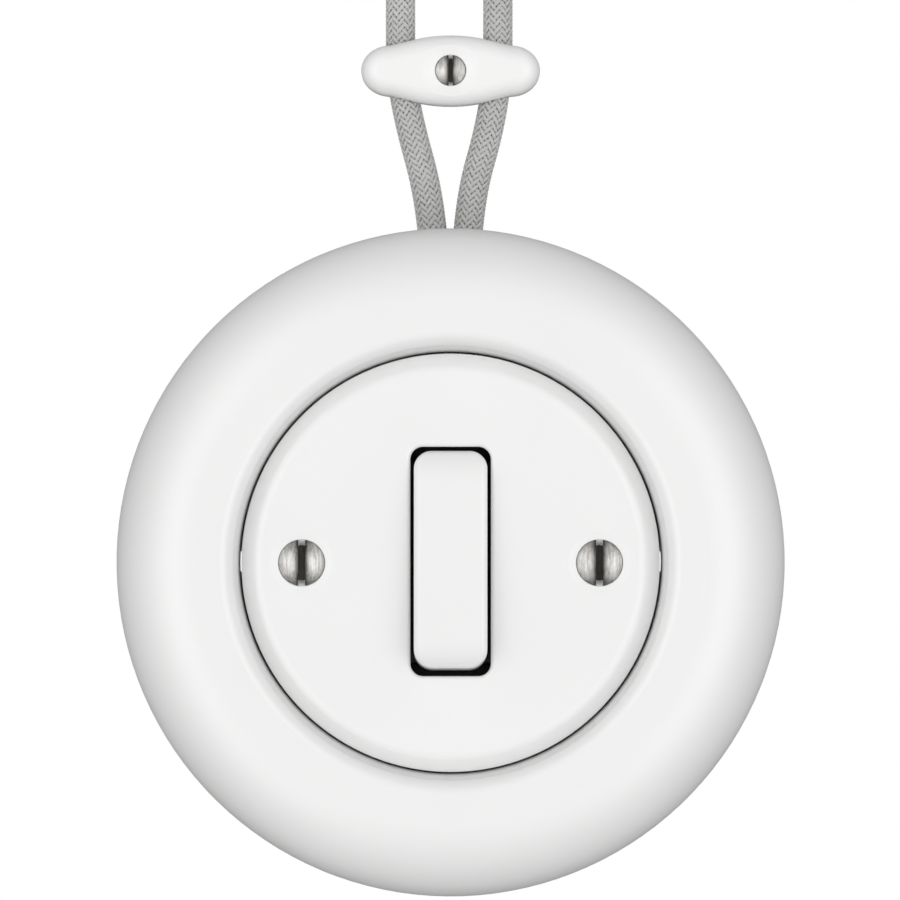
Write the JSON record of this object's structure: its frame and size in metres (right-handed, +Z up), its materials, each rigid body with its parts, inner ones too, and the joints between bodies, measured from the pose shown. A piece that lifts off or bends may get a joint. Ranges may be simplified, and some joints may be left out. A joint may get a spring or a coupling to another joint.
{
  "type": "surface rocker light switch",
  "caption": "Round white porcelain surface-mounted rocker light switch with braided textile cables held by porcelain wall clips.",
  "frame": {"origin": "centre of the switch on the wall plane, which is the back face of its base plate", "axes": "+Z up the wall, +Y into the wall, so the switch faces -Y; +X to the right seen from the room"},
  "size_m": [0.1, 0.0325, 0.177],
  "materials": {
    "porcelain": "gloss",
    "clip_porcelain": "gloss",
    "moulding": "moulded",
    "carrier_plastic": "moulded",
    "black_steel": "black passivated",
    "screw_steel": "brushed",
    "zinc_steel": "zinc plated",
    "brass": "stamped",
    "contact_silver": "satin",
    "braid": "braided",
    "core_sheath": "satin",
    "copper": "bare",
    "sleeve_rubber": "satin",
    "tinned": "tinned"
  },
  "bodies": {
    "switch_body": {"arm_bracket": "brass", "base_plate": "porcelain", "cable_left": "braid", "cable_right": "braid", "clip_base_lower": "clip_porcelain", "clip_base_upper": "clip_porcelain", "clip_cap_lower": "clip_porcelain", "clip_cap_upper": "clip_porcelain", "clip_screw_lower": "screw_steel", "clip_screw_upper": "screw_steel", "core_left": "core_sheath", "core_right": "core_sheath", "core_tail_left": "core_sheath", "core_tail_right": "core_sheath", "cover_plate": "porcelain", "cover_screw_left": "screw_steel", "cover_screw_right": "screw_steel", "ferrule_left": "tinned", "ferrule_right": "tinned", "fixed_contact": "brass", "fixed_contact_tip": "contact_silver", "frame_inserts": "brass", "frame_screws": "black_steel", "module_body": "moulding", "module_rivets": "black_steel", "ring_housing": "porcelain", "ring_inserts": "brass", "ring_screws": "zinc_steel", "sleeve_left": "sleeve_rubber", "sleeve_right": "sleeve_rubber", "support_frame": "black_steel", "terminal_screw_supply": "brass", "terminal_screw_switched": "brass", "terminal_supply": "brass", "terminal_switched": "brass", "wire_left": "copper", "wire_right": "copper"},
    "rocker_body": {"rocker": "porcelain", "rocker_carrier": "carrier_plastic", "axle_pins": "zinc_steel", "toggle_spring": "zinc_steel"},
    "plunger": {"toggle_plunger": "brass"},
    "contact_arm": {"contact_arm": "brass", "arm_pin": "zinc_steel", "moving_contact_tip": "contact_silver"}
  },
  "joints": [
    {"name": "rocker_tilt", "type": "hinge", "parent": "switch_body", "child": "rocker_body", "pos_m": [0, -0.022, 0], "axis": [1, 0, 0], "range_deg": [0, 9]},
    {"name": "plunger_slide", "type": "slide", "parent": "rocker_body", "child": "plunger", "axis": [0, -0.9969, 0.0785], "range_m": [0, 0.0008], "stiffness_N_per_m": 300, "springref_m": -0.003, "deforming": ["toggle_spring"]},
    {"name": "contact_arm_tilt", "type": "hinge", "parent": "switch_body", "child": "contact_arm", "pos_m": [0, -0.0104, 0], "axis": [1, 0, 0], "range_deg": [-16, 0]}
  ],
  "couplings": [
    {"joint": "contact_arm_tilt", "follows": "rocker_tilt", "ratio": -1.7777}
  ]
}
